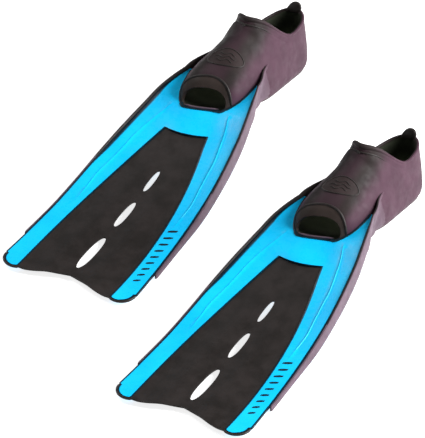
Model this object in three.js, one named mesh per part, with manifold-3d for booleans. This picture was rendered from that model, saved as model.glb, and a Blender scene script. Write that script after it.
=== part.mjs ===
// A pair of full-foot swim fins lying on the floor, blade tips toward -Y and heels toward +Y.
//
// Each fin is drawn in its own frame: x across the blade, y from the blade tip to the heel, z up from
// the floor. The two fins are equal, and the pair is centred over the origin. Sizes are millimetres.
//
// The real blade bends along its length. Here it turns as one piece about a flex line just ahead of
// the toes, so the blade frame and the rails are split at that line.

import * as THREE from "three";
import { mergeVertices } from "three/addons/utils/BufferGeometryUtils.js";
import Module from "manifold-3d";

const wasm = await Module();
wasm.setup();

// ---------------------------------------------------------------- driving dimensions

const GAP = 0.3; // clearance between touching pieces
const FIN_SPACING = 298; // from one fin's centre line to the other's
const FIN_STAGGER = 183; // how far the left fin lies ahead of the right one

// blade surface: a shallow bowl that is lowest near the tip and climbs to the toes
const BLADE_LOW = 5.8; // height of the lowest point of the middle surface
const BLADE_LOW_Y = 45;
const BLADE_BEND = 0.000585; // rise per square millimetre
const COLLAR_Y = 345; // from here the surface levels out beside the pocket
const COLLAR_RISE = 12;
const COLLAR_LENGTH = 34;

// blade outline: half widths
const TIP_HALF_WIDTH = 106.5;
const TAPER = 22;
const WAIST = 26;
const TAPER_LENGTH = 400;
const PANEL_HALF_WIDTH = 74;
const PANEL_TAPER = 41;
const PANEL_POWER = 2.25;
const PANEL_END_Y = 320;

// rounded tips and the trailing edge
const LOBE_X = 83.5;
const LOBE_Y = 8.5;
const LOBE_RADIUS = 22;
const EDGE_WIDTH = 2.6;
const EDGE_START = THREE.MathUtils.degToRad(8);
const EDGE_END = THREE.MathUtils.degToRad(-115);
const LOBE_SIDE_Y = 12;
const TRAILING_EDGE = [
  [8, 6.3],
  [28, -1],
  [50, -8],
];
const NOTCH_Y = 8.5;
const PANEL_CORNER_Y = -11.3;

// thicknesses
const FRAME_TIP_THICKNESS = 3;
const FRAME_ROOT_THICKNESS = 4.8;
const PANEL_THICKNESS = 2.4;
const RAIL_THICKNESS = 3.6;

// water slots: centre, half length and half width of each
const SLOTS = [
  { y: 228, length: 20, width: 3.5 },
  { y: 159, length: 26, width: 4.8 },
  { y: 68, length: 37, width: 6.1 },
];

// side rails
const RAIL_START_Y = 70;
const RAIL_DROP = 6.13; // how far the rail reaches below the middle surface at its tip end
const RAIL_DEEPEN = 17; // how much deeper it is at its root
const RAIL_DEEP_LENGTH = 250;
const RAIL_LIP = 1;
const WING_END_Y = 478;
const WING_TUCK = 12; // how far the wing's lower edge turns in under the foot
const TUCK_START = 370;
const TUCK_LENGTH = 75;

// flex line
const FLEX_Y = 339;
const FLEX_DOWN = THREE.MathUtils.degToRad(25);
const FLEX_UP = THREE.MathUtils.degToRad(30);

// foot pocket
const SOLE_Y = 360;
const SOLE_HEIGHT = 57; // height of the sole's underside at SOLE_Y
const SOLE_SLOPE = 0.262; // fall toward the heel
const OUTSOLE_THICKNESS = 3;
const TONGUE_BOTTOM = 4.8; // above the sole's underside
const TONGUE_THICKNESS = 2.4;
const FLOOR_TOP = 9;
const WALL = 4;
const TOE_DOME_POWER = 2.8; // roundness of the dome's section: boxy over the toes
const INSTEP_DOME_POWER = 1.65; // and nearly a ridge over the instep
const DOME_CHANGE_Y = 372;
const DOME_CHANGE_LENGTH = 75;
const BASE_POWER = 3.2;
const HEEL_ROUND_Y = 572;
const HEEL_ROUND_LENGTH = 34.5;
const HEEL_ROUND_RISE = 46;
const HEEL_Y = 606;

// stations of the pocket's outside: y, half width, height where it is widest, height of the crown
const POCKET = [
  [360, 25, 64, 68],
  [366, 33, 65, 83],
  [378, 40.5, 66, 99],
  [390, 45, 67, 107.5],
  [412, 49.5, 66.5, 117.5],
  [435, 52.5, 62, 128],
  [460, 52, 54, 139],
  [484, 49, 47, 151],
  [512, 45, 41, 160],
  [542, 41, 35, 160],
  [572, 36.5, 31, 158],
  [590, 30, 33, 156],
  [601, 19, 40, 153],
  [606, 6, 50, 148],
];
const POCKET_RINGS = [
  360, 363, 367, 372, 378, 386, 397, 412, 430, 450, 470, 484, 500, 520, 542, 565, 582, 594, 602, 606,
];
const INNER_RINGS = [364, 368, 374, 382, 394, 412, 435, 460, 484, 512, 542, 568, 586, 597, 602];

// edge of the ankle opening seen from the side: y, z
const RIM = [
  [470, 162],
  [482, 150],
  [496, 136],
  [511, 117],
  [528, 97],
  [545, 85],
  [562, 80],
  [582, 79],
  [603, 83],
  [612, 86],
];
const RIM_FRONT_Y = 482;
const RIM_BACK_Y = 603.4;
const RIM_RADIUS = 2.6;

// toe opening and its bead
const TOE_HALF_WIDTH = 36;
const TOE_BOTTOM = 66;
const TOE_SPRING = 78;
const TOE_TOP = 97;
const BEAD_Y = 386;
const BEAD_RADIUS = 1.7;

// heel tab, badge and outsole
const TAB_HALF_WIDTH = 12;
const TAB_HEIGHT = 13;
const TAB_THICKNESS = 3.4;
const TAB_Y = 600.6;
const TAB_Z = 86.2;
const BADGE_Y = 419;
const BADGE_HALF_WIDTH = 29;
const BADGE_HALF_LENGTH = 12;
const BADGE_THICKNESS = 1.2;
const SOLE_OUTLINE = [
  [370, 27],
  [384, 35],
  [410, 41],
  [440, 43],
  [475, 40],
  [510, 36],
  [545, 33],
  [572, 30],
];
const SOLE_BACK_Y = 588;
const TREAD_START = 384;
const TREAD_PITCH = 13;
const TREAD_COUNT = 14;
const TREAD_WIDTH = 3.5;
const TREAD_DEPTH = 1.4;

// ---------------------------------------------------------------- plain curves

const clamp = (t) => Math.min(1, Math.max(0, t));
const smooth = (t) => clamp(t) ** 2 * (3 - 2 * clamp(t));
const mix = (a, b, t) => a + (b - a) * t;

// A smooth curve through points [x, ..., value at column], read by its x.
function through(points, column) {
  const slope = (i) => {
    const before = points[Math.max(0, i - 1)];
    const after = points[Math.min(points.length - 1, i + 1)];
    return (after[column] - before[column]) / (after[0] - before[0]);
  };
  return (x) => {
    const last = points.length - 2;
    const found = points.findIndex((point, i) => i < points.length - 1 && x <= points[i + 1][0]);
    const i = found < 0 ? last : found;
    const width = points[i + 1][0] - points[i][0];
    const t = clamp((x - points[i][0]) / width);
    const [a, b] = [points[i][column], points[i + 1][column]];
    const [startSlope, endSlope] = [slope(i) * width, slope(i + 1) * width];
    const curve = 2 * (a - b) + startSlope + endSlope;
    const lean = 3 * (b - a) - 2 * startSlope - endSlope;
    return a + startSlope * t + lean * t * t + curve * t ** 3;
  };
}

const bowl = (y) => BLADE_LOW + BLADE_BEND * (y - BLADE_LOW_Y) ** 2;
const middle = (y) =>
  y < COLLAR_Y ? bowl(y) : bowl(COLLAR_Y) + COLLAR_RISE * (1 - Math.exp((COLLAR_Y - y) / COLLAR_LENGTH));
const bladeHalf = (y) => TIP_HALF_WIDTH - TAPER * (y / TAPER_LENGTH) - WAIST * (y / TAPER_LENGTH) ** 4;
const panelHalf = (y) => PANEL_HALF_WIDTH - PANEL_TAPER * Math.max(0, y / PANEL_END_Y) ** PANEL_POWER;
const frameHalfThickness = (y) => mix(FRAME_TIP_THICKNESS, FRAME_ROOT_THICKNESS, clamp(y / FLEX_Y)) / 2;

const solePlane = (y) => SOLE_HEIGHT - SOLE_SLOPE * (y - SOLE_Y);
const heelRise = (y) => {
  const t = clamp((y - HEEL_ROUND_Y) / HEEL_ROUND_LENGTH);
  return HEEL_ROUND_RISE * (1 - Math.sqrt(1 - t * t));
};
const pocketBase = (y) => solePlane(y) + OUTSOLE_THICKNESS + GAP + heelRise(y);
const pocketHalf = through(POCKET, 1);
const pocketWidest = through(POCKET, 2);
const pocketCrown = through(POCKET, 3);
const rimHeight = through(RIM, 1);
const soleHalf = through(SOLE_OUTLINE, 1);
const domePower = (y) =>
  mix(TOE_DOME_POWER, INSTEP_DOME_POWER, smooth((y - DOME_CHANGE_Y) / DOME_CHANGE_LENGTH));

// Depth of the rail below the middle surface, and height of its upper edge above it.
const LIP_ROOT_START = 190;
const LIP_ROOT_LENGTH = 110;
const LIP_ROOT = 1.8;
const WING_START = 350;
const WING_LENGTH = 85;
const WING_HEIGHT = 17;
const railDepth = (y) => RAIL_DROP + RAIL_DEEPEN * clamp((y - RAIL_START_Y) / RAIL_DEEP_LENGTH) ** 2;
const railLip = (y) =>
  RAIL_LIP +
  LIP_ROOT * smooth((y - LIP_ROOT_START) / LIP_ROOT_LENGTH) +
  WING_HEIGHT * smooth((y - WING_START) / WING_LENGTH);

// ---------------------------------------------------------------- geometry helpers

// Moves every vertex of a three.js geometry by a function of its place.
function mapped(geometry, place) {
  const at = geometry.attributes.position;
  for (let i = 0; i < at.count; i += 1) {
    at.setXYZ(i, ...place(at.getX(i), at.getY(i), at.getZ(i)));
  }
  return geometry;
}

// A closed solid from a geometry whose shared vertices are merged first.
function solid(geometry) {
  geometry.deleteAttribute("normal");
  geometry.deleteAttribute("uv");
  const merged = mergeVertices(geometry, 1e-4);
  return new wasm.Manifold(
    new wasm.Mesh({
      numProp: 3,
      vertProperties: new Float32Array(merged.attributes.position.array),
      triVerts: new Uint32Array(merged.index.array),
    }),
  );
}

// Drops the crumbs that a cut can leave beside the piece itself.
function largest(body) {
  return body.decompose().sort((a, b) => b.volume() - a.volume())[0];
}

function toGeometry(body) {
  const mesh = body.getMesh();
  const geometry = new THREE.BufferGeometry();
  const places = new Float32Array(mesh.vertProperties);
  geometry.setAttribute("position", new THREE.BufferAttribute(places, mesh.numProp));
  geometry.setIndex(new THREE.BufferAttribute(new Uint32Array(mesh.triVerts), 1));
  geometry.computeVertexNormals();
  return geometry;
}

// A solid whose section across x at each y is a rectangle from low(y) to high(y).
function slab({ start, end, steps, left, right, low, high }) {
  const box = new THREE.BoxGeometry(1, 1, 1, 1, steps, 1);
  return solid(
    mapped(box, (u, v, w) => {
      const y = mix(start, end, v + 0.5);
      return [u < 0 ? left(y, w > 0) : right(y, w > 0), y, w < 0 ? low(y) : high(y)];
    }),
  );
}

// An upright solid over a plan outline, tall enough to pass through the whole fin.
const PRISM_BOTTOM = -40;
const PRISM_HEIGHT = 260;
function prism(shape, curveSegments = 12) {
  const upright = { depth: PRISM_HEIGHT, bevelEnabled: false, curveSegments };
  return solid(new THREE.ExtrudeGeometry(shape, upright).translate(0, 0, PRISM_BOTTOM));
}

// A solid across the whole width from an outline drawn in y and z.
const CROSS_HALF = 140;
function crossCut(points) {
  const shape = new THREE.Shape(points.map(([y, z]) => new THREE.Vector2(y, z)));
  const geometry = new THREE.ExtrudeGeometry(shape, { depth: 2 * CROSS_HALF, bevelEnabled: false });
  return solid(mapped(geometry, (y, z, x) => [x - CROSS_HALF, y, z]));
}

function crossBox(yLow, yHigh, zLow, zHigh) {
  return crossCut([
    [yLow, zLow],
    [yHigh, zLow],
    [yHigh, zHigh],
    [yLow, zHigh],
  ]);
}

// A round bead along a curve that is given as a function of t from 0 to 1.
function bead(place, radius, steps, sides, closed) {
  const curve = new THREE.CatmullRomCurve3(
    Array.from({ length: steps + (closed ? 0 : 1) }, (_, i) => new THREE.Vector3(...place(i / steps))),
    closed,
  );
  const up = new THREE.Vector3(0, 0, 1);
  const ring = closed
    ? new THREE.TorusGeometry(1, 0.5, sides, steps)
    : new THREE.CylinderGeometry(1, 1, 1, sides, steps, false);
  const along = (t) => {
    const tangent = curve.getTangent(t).normalize();
    const side = new THREE.Vector3().crossVectors(tangent, up).normalize();
    const rise = new THREE.Vector3().crossVectors(side, tangent);
    return { centre: curve.getPoint(t), side, rise };
  };
  const point = (t, across, height) => {
    const { centre, side, rise } = along(t);
    return centre.addScaledVector(side, across * radius).addScaledVector(rise, height * radius).toArray();
  };
  if (!closed) {
    return solid(mapped(ring, (x, y, z) => point(y + 0.5, x, z)));
  }
  return solid(
    mapped(ring, (x, y, z) => {
      const turn = Math.round((Math.atan2(y, x) / (2 * Math.PI)) * steps);
      const out = Math.hypot(x, y) - 1;
      return point(((turn + steps) % steps) / steps, out * 2, z * 2);
    }),
  );
}

// ---------------------------------------------------------------- blade

const TAIL_Y = -20;
const BLADE_STEPS = 20;

function bladeSlab(halfThickness) {
  return slab({
    start: TAIL_Y,
    end: SOLE_Y,
    steps: BLADE_STEPS,
    left: () => -CROSS_HALF,
    right: () => CROSS_HALF,
    low: (y) => middle(y) - halfThickness(y),
    high: (y) => middle(y) + halfThickness(y),
  });
}

// The space that the blade's root leaves for the flexing: a wedge that opens above and below the line.
const FLEX_Z = middle(FLEX_Y);
const WEDGE_BELOW = 34;
const WEDGE_ABOVE = 14;
function flexWedge() {
  const nose = FLEX_Y - GAP;
  return crossCut([
    [nose, FLEX_Z],
    [nose - WEDGE_BELOW * Math.tan(FLEX_DOWN), FLEX_Z - WEDGE_BELOW],
    [nose + WEDGE_BELOW, FLEX_Z - WEDGE_BELOW],
    [nose + WEDGE_BELOW, FLEX_Z + WEDGE_ABOVE],
    [nose - WEDGE_ABOVE * Math.tan(FLEX_UP), FLEX_Z + WEDGE_ABOVE],
  ]);
}

const OUTLINE_STEPS = 16;

// Runs a plan outline down one side of a half-width curve and, for the other side, back up it.
function sidePoints(half, from, to, sign) {
  return Array.from({ length: OUTLINE_STEPS + 1 }, (_, i) => {
    const y = mix(from, to, i / OUTLINE_STEPS);
    return new THREE.Vector2(sign * half(y), y);
  });
}

const ARC_STEPS = 10;
function lobeArc(radius, from, to) {
  return Array.from({ length: ARC_STEPS + 1 }, (_, i) => {
    const angle = mix(from, to, i / ARC_STEPS);
    return new THREE.Vector2(LOBE_X + radius * Math.cos(angle), LOBE_Y + radius * Math.sin(angle));
  });
}

const mirrored = (points) => points.map((p) => new THREE.Vector2(-p.x, p.y)).reverse();

function panelOutline(gap) {
  const half = (y) => panelHalf(y) - gap;
  const corner = new THREE.Vector2(PANEL_HALF_WIDTH - gap, PANEL_CORNER_Y);
  const edge = TRAILING_EDGE.map(([x, y]) => new THREE.Vector2(x, y)).reverse();
  const rightHalf = [...sidePoints(half, PANEL_END_Y - gap, 0, 1), corner, ...edge];
  return new THREE.Shape([...rightHalf, new THREE.Vector2(0, NOTCH_Y), ...mirrored(rightHalf)]);
}

function slotSolids() {
  return SLOTS.map(({ y, length, width }) =>
    prism(new THREE.Shape().absellipse(0, y, width, length, 0, 2 * Math.PI), ARC_STEPS),
  );
}

function bladePanel() {
  const thickness = () => PANEL_THICKNESS / 2;
  let panel = bladeSlab(thickness).intersect(prism(panelOutline(GAP)));
  for (const slot of slotSolids()) {
    panel = panel.subtract(slot);
  }
  return panel;
}

function bladeFrame() {
  const innerRadius = LOBE_RADIUS - EDGE_WIDTH - GAP;
  const stepX = LOBE_X + innerRadius;
  const innerEnd = -Math.PI + Math.acos((LOBE_X - PANEL_HALF_WIDTH) / innerRadius);
  const side = [
    ...sidePoints(bladeHalf, FLEX_Y + GAP, LOBE_SIDE_Y, 1),
    new THREE.Vector2(stepX, LOBE_SIDE_Y),
    ...lobeArc(innerRadius, 0, innerEnd),
    ...sidePoints(panelHalf, 0, PANEL_END_Y, 1),
  ];
  const outline = new THREE.Shape([...side, ...mirrored(side)]);
  return bladeSlab(frameHalfThickness).intersect(prism(outline)).subtract(flexWedge());
}

function tipEdge(sign) {
  const ring = [
    ...lobeArc(LOBE_RADIUS, EDGE_START, EDGE_END),
    ...lobeArc(LOBE_RADIUS - EDGE_WIDTH, EDGE_END, EDGE_START),
  ];
  const shape = new THREE.Shape(ring.map((p) => new THREE.Vector2(sign * p.x, p.y)));
  return bladeSlab(frameHalfThickness).intersect(prism(shape));
}

function sideRail(sign) {
  const inner = (y) => sign * (bladeHalf(y) + GAP);
  const outer = (y) => sign * (bladeHalf(y) + GAP + RAIL_THICKNESS);
  const rail = slab({
    start: RAIL_START_Y,
    end: FLEX_Y + GAP,
    steps: BLADE_STEPS,
    left: sign > 0 ? inner : outer,
    right: sign > 0 ? outer : inner,
    low: (y) => middle(y) - railDepth(y),
    high: (y) => middle(y) + railLip(y),
  });
  return rail.subtract(flexWedge());
}

// ---------------------------------------------------------------- foot pocket

const LOFT_SIDES = 26;

// The pocket's outer form, grown outward by `grow`, with its underside moved up by `lift`.
function pocketForm(rings, grow, lift) {
  const tube = new THREE.CylinderGeometry(1, 1, rings.length - 1, LOFT_SIDES, rings.length - 1, false);
  return solid(
    mapped(tube, (u, v, w) => {
      const ring = Math.round(v + (rings.length - 1) / 2);
      const y = rings[ring];
      const half = pocketHalf(y) + grow;
      const widest = pocketWidest(y);
      const rise = w < 0 ? widest - pocketBase(y) - lift : pocketCrown(y) + grow - widest;
      const power = 2 / (w < 0 ? BASE_POWER : domePower(y));
      const height = widest + Math.sign(w) * rise * Math.abs(w) ** power;
      return [Math.sign(u) * half * Math.abs(u) ** power, y, height];
    }),
  );
}

// Half width of the pocket's outside at a given y and height, and of the middle of its wall.
function outsideHalf(y, z, inset = 0) {
  const t = clamp((z - pocketWidest(y)) / (pocketCrown(y) - pocketWidest(y)));
  const power = domePower(y);
  return Math.max(0, pocketHalf(y) - inset) * (1 - t ** power) ** (1 / power);
}
const wallHalf = (y, z) => outsideHalf(y, z, WALL / 2);

function rimPath(t) {
  const turn = 2 * Math.PI * t;
  const y = mix(RIM_FRONT_Y, RIM_BACK_Y, (1 - Math.cos(turn)) / 2);
  const half = wallHalf(y, rimHeight(y));
  return [Math.sign(Math.round(1e6 * Math.sin(turn))) * half, y, rimHeight(y)];
}

const RIM_STEPS = 32;
const RIM_SIDES = 8;
const ankleRim = (radius) => bead(rimPath, radius, RIM_STEPS, RIM_SIDES, true);

// The bead over the toe opening climbs the pocket's outside from one flank to the other.
const BEAD_FROM = THREE.MathUtils.degToRad(12);
function beadPath(t) {
  const angle = mix(BEAD_FROM, Math.PI - BEAD_FROM, t);
  const power = 2 / domePower(BEAD_Y);
  const widest = pocketWidest(BEAD_Y);
  const x = Math.sign(Math.cos(angle)) * pocketHalf(BEAD_Y) * Math.abs(Math.cos(angle)) ** power;
  return [x, BEAD_Y, widest + (pocketCrown(BEAD_Y) - widest) * Math.sin(angle) ** power];
}
const BEAD_STEPS = 20;
const toeBead = (radius) => bead(beadPath, radius, BEAD_STEPS, RIM_SIDES, false);

const RIM_TOP = 220;
function ankleCutter() {
  const edge = Array.from({ length: RIM_STEPS + 1 }, (_, i) => {
    const y = mix(RIM[0][0], RIM[RIM.length - 1][0], i / RIM_STEPS);
    return [y, rimHeight(y)];
  });
  return crossCut([...edge, [RIM[RIM.length - 1][0], RIM_TOP], [RIM[0][0], RIM_TOP]]);
}

const TOE_CUT_START = 345;
const TOE_CUT_LENGTH = 45;
function toeCutter() {
  const shape = new THREE.Shape();
  shape.moveTo(-TOE_HALF_WIDTH, TOE_BOTTOM);
  shape.lineTo(TOE_HALF_WIDTH, TOE_BOTTOM);
  shape.lineTo(TOE_HALF_WIDTH, TOE_SPRING);
  shape.absellipse(0, TOE_SPRING, TOE_HALF_WIDTH, TOE_TOP - TOE_SPRING, 0, Math.PI);
  const geometry = new THREE.ExtrudeGeometry(shape, {
    depth: TOE_CUT_LENGTH,
    bevelEnabled: false,
    curveSegments: ARC_STEPS,
  });
  return solid(mapped(geometry, (x, z, y) => [x, TOE_CUT_START + TOE_CUT_LENGTH - y, z]));
}

// The stiff tongue that runs back under the foot inside the pocket's floor.
const TONGUE_START = 358;
const TONGUE_END = 530;
const TONGUE_STEPS = 6;
const TONGUE_INSET = 12;
function tongue(grow) {
  const half = (y) => soleHalf(Math.max(y, SOLE_OUTLINE[0][0])) - TONGUE_INSET + grow;
  return slab({
    start: TONGUE_START,
    end: TONGUE_END + grow,
    steps: TONGUE_STEPS,
    left: (y) => -half(y),
    right: half,
    low: (y) => solePlane(y) + TONGUE_BOTTOM - grow,
    high: (y) => solePlane(y) + TONGUE_BOTTOM + TONGUE_THICKNESS + grow,
  });
}

function footPocket() {
  return pocketForm(POCKET_RINGS, 0, 0)
    .subtract(pocketForm(INNER_RINGS, -WALL, FLOOR_TOP - OUTSOLE_THICKNESS - GAP))
    .subtract(toeCutter())
    .subtract(ankleCutter())
    .subtract(tongue(GAP))
    .subtract(ankleRim(RIM_RADIUS + GAP))
    .subtract(toeBead(BEAD_RADIUS + GAP));
}

// ---------------------------------------------------------------- pieces on the pocket's body

const WING_BLEND_Y = 415;
const WING_STEPS = 14;
const wingLow = (y) => Math.min(bowl(y) - RAIL_DROP - RAIL_DEEPEN, solePlane(y) + OUTSOLE_THICKNESS + GAP);
const wingTuck = (y) => WING_TUCK * smooth((y - TUCK_START) / TUCK_LENGTH);

const COLLAR_END_Y = 418;
const COLLAR_STEPS = 8;
function footPlate() {
  const half = (y) => {
    const top = middle(y) + railLip(y);
    const share = (top - middle(y) + FRAME_ROOT_THICKNESS / 2) / (top - wingLow(y));
    return bladeHalf(y) - GAP - wingTuck(y) * share;
  };
  const collar = slab({
    start: FLEX_Y + GAP,
    end: COLLAR_END_Y,
    steps: COLLAR_STEPS,
    left: (y) => -half(y),
    right: half,
    low: (y) => middle(y) - FRAME_ROOT_THICKNESS / 2,
    high: (y) => middle(y) + FRAME_ROOT_THICKNESS / 2,
  });
  return collar.subtract(pocketForm(POCKET_RINGS, GAP, -GAP)).add(tongue(0));
}

function railRoot(sign) {
  // upper edge: along the blade's side, then fading onto the pocket's wall at the wing's own height
  const wall = (y, upper) => (upper ? outsideHalf(y, middle(y) + railLip(y)) : pocketHalf(y));
  const flank = (y, upper) => {
    const side = bladeHalf(Math.min(y, WING_BLEND_Y)) + GAP + RAIL_THICKNESS;
    const stand = side - wall(WING_BLEND_Y, upper);
    const fade = 1 - smooth((y - WING_BLEND_Y) / (WING_END_Y - WING_BLEND_Y));
    return y < WING_BLEND_Y ? side : wall(y, upper) + stand * fade;
  };
  const tuck = (y, upper) => (upper ? 0 : wingTuck(y));
  const outer = (y, upper) => sign * (flank(y, upper) - tuck(y, upper));
  const web = (y, upper) => Math.min(bladeHalf(y) + GAP, flank(y, upper) - RAIL_THICKNESS);
  const inner = (y, upper) => sign * (web(y, upper) - tuck(y, upper));
  const wing = slab({
    start: FLEX_Y + GAP,
    end: WING_END_Y,
    steps: WING_STEPS,
    left: sign > 0 ? inner : outer,
    right: sign > 0 ? outer : inner,
    low: wingLow,
    high: (y) => middle(y) + railLip(y),
  });
  return wing.subtract(pocketForm(POCKET_RINGS, GAP, -GAP));
}

function heelTab() {
  const shape = new THREE.Shape();
  shape.moveTo(-TAB_HALF_WIDTH, 0);
  shape.lineTo(TAB_HALF_WIDTH, 0);
  shape.absellipse(0, 0, TAB_HALF_WIDTH, TAB_HEIGHT, 0, Math.PI);
  const geometry = new THREE.ExtrudeGeometry(shape, {
    depth: TAB_THICKNESS,
    bevelEnabled: false,
    curveSegments: ARC_STEPS,
  });
  return solid(mapped(geometry, (x, z, y) => [x, TAB_Y + TAB_THICKNESS - y, TAB_Z + z]));
}

function instepBadge() {
  const oval = new THREE.Shape().absellipse(0, BADGE_Y, BADGE_HALF_WIDTH, BADGE_HALF_LENGTH, 0, 2 * Math.PI);
  return pocketForm(POCKET_RINGS, GAP + BADGE_THICKNESS, 0)
    .subtract(pocketForm(POCKET_RINGS, GAP, 0))
    .intersect(prism(oval, ARC_STEPS))
    .intersect(crossBox(TOE_CUT_START, RIM[0][0], TOE_SPRING, RIM_TOP));
}

const HEEL_CORNER = 14; // how far across the heel the outsole's back corners are rounded off
function outsole() {
  const back = soleHalf(HEEL_ROUND_Y);
  const corner = Array.from({ length: ARC_STEPS + 1 }, (_, i) => {
    const angle = (Math.PI / 2) * (i / ARC_STEPS);
    const depth = (SOLE_BACK_Y - HEEL_ROUND_Y) * Math.sin(angle);
    return new THREE.Vector2(back - HEEL_CORNER * (1 - Math.cos(angle)), HEEL_ROUND_Y + depth);
  });
  const side = [...sidePoints(soleHalf, SOLE_OUTLINE[0][0], HEEL_ROUND_Y, 1), ...corner.slice(1)];
  const outline = new THREE.Shape([...side, ...mirrored(side)]);
  let sole = slab({
    start: SOLE_OUTLINE[0][0],
    end: HEEL_Y,
    steps: BLADE_STEPS,
    left: () => -CROSS_HALF,
    right: () => CROSS_HALF,
    low: (y) => solePlane(y),
    high: (y) => pocketBase(y) - GAP,
  }).intersect(prism(outline));
  for (let i = 0; i < TREAD_COUNT; i += 1) {
    const y = TREAD_START + i * TREAD_PITCH;
    sole = sole.subtract(
      crossCut([
        [y, solePlane(y) - TREAD_DEPTH],
        [y + TREAD_WIDTH, solePlane(y + TREAD_WIDTH) - TREAD_DEPTH],
        [y + TREAD_WIDTH, solePlane(y + TREAD_WIDTH) + TREAD_DEPTH],
        [y, solePlane(y) + TREAD_DEPTH],
      ]),
    );
  }
  const floor = crossBox(SOLE_Y, HEEL_Y, PRISM_BOTTOM, 0);
  return sole.subtract(floor).subtract(pocketForm(POCKET_RINGS, GAP, -GAP));
}

// ---------------------------------------------------------------- the pair

const paint = (color, roughness) => ({ color, roughness, metalness: 0 });
const CYAN = paint(0x1fc4fa, 0.32);
const BLACK = paint(0x2b2725, 0.55);
const MAUVE = paint(0x5a4b52, 0.5);
const DARK = paint(0x3a3236, 0.6);

const PIECES = {
  blade_frame: [bladeFrame(), CYAN],
  blade_panel: [bladePanel(), BLACK],
  outer_rail: [sideRail(-1), MAUVE],
  inner_rail: [sideRail(1), MAUVE],
  outer_tip_edge: [tipEdge(-1), BLACK],
  inner_tip_edge: [tipEdge(1), BLACK],
  foot_plate: [footPlate(), CYAN],
  foot_pocket: [footPocket(), MAUVE],
  outsole: [outsole(), DARK],
  outer_rail_root: [railRoot(-1), MAUVE],
  inner_rail_root: [railRoot(1), MAUVE],
  ankle_rim: [ankleRim(RIM_RADIUS), DARK],
  toe_bead: [toeBead(BEAD_RADIUS), DARK],
  heel_tab: [heelTab(), DARK],
  instep_badge: [instepBadge(), DARK],
};

// The left fin is the right one mirrored, so that outer and inner stay true on both feet.
function fin(side, sign) {
  const group = new THREE.Group();
  for (const [name, [cut, look]] of Object.entries(PIECES)) {
    const body = largest(cut);
    const geometry = toGeometry(sign < 0 ? body.mirror([1, 0, 0]) : body);
    const mesh = new THREE.Mesh(geometry, new THREE.MeshStandardMaterial(look));
    mesh.name = `${side}_${name}`;
    group.add(mesh);
  }
  return group;
}

const pair = new THREE.Group();
const rightFin = fin("right", 1);
const leftFin = fin("left", -1);
rightFin.position.x = -FIN_SPACING / 2;
leftFin.position.set(FIN_SPACING / 2, -FIN_STAGGER, 0);
pair.add(rightFin, leftFin);

const box = new THREE.Box3().setFromObject(pair);
pair.position.set(-(box.min.x + box.max.x) / 2, -(box.min.y + box.max.y) / 2, -box.min.z);

export default pair;
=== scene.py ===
# A pair of full-foot swim fins on a pale floor. Each fin is shaped in its own frame, in millimetres: x across
# the blade, y from the blade tip to the heel, z up from the floor. `Fin.place` leans its toe box, ankle rim
# and blade tips to one side, and puts it into the model's frame, in metres. Both fins lean the same way.

import math

import bmesh
import bpy
import numpy as np
from mathutils import Matrix, Vector


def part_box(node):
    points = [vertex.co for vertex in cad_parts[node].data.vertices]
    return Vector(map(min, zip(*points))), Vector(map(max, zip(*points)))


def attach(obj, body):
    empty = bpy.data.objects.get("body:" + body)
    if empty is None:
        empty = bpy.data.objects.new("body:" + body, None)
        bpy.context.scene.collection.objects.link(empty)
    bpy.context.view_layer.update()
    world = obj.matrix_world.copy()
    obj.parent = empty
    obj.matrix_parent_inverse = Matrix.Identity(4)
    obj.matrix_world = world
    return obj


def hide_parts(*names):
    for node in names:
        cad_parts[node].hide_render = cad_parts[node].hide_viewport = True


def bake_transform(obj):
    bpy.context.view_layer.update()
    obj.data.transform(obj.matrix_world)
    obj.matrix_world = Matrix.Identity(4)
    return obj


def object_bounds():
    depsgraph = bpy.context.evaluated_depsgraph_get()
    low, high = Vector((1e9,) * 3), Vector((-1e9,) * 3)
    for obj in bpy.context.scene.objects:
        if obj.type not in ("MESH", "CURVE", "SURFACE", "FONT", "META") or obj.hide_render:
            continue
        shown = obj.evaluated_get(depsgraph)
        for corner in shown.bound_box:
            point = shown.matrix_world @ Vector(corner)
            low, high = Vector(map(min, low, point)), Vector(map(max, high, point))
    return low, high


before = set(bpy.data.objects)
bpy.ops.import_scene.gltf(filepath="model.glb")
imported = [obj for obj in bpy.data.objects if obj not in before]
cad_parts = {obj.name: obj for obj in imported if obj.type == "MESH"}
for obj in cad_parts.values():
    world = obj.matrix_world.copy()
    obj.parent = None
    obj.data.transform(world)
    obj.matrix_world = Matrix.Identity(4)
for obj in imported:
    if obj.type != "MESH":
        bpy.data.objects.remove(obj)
CAD_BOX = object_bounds()
MM = 0.001

# ---- shape of a fin

# In this script a pair of numbers named ..._RISE says where something starts to grow and over what length it
# does, and one named ..._FALL where it has ended and over what length it fades out before that.

# blade surface: a shallow bowl, lowest near the tip, that levels out beside the pocket
BLADE_LOW, BLADE_LOW_Y, BLADE_BEND = 5.8, 45, 0.000585
COLLAR_Y, COLLAR_RISE, COLLAR_LENGTH = 345, 34, 75
FRAME_TIP_THICKNESS, FRAME_ROOT_THICKNESS = 3.0, 4.8
FLEX_Y = 339
PANEL_THICKNESS = 2.4

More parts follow.
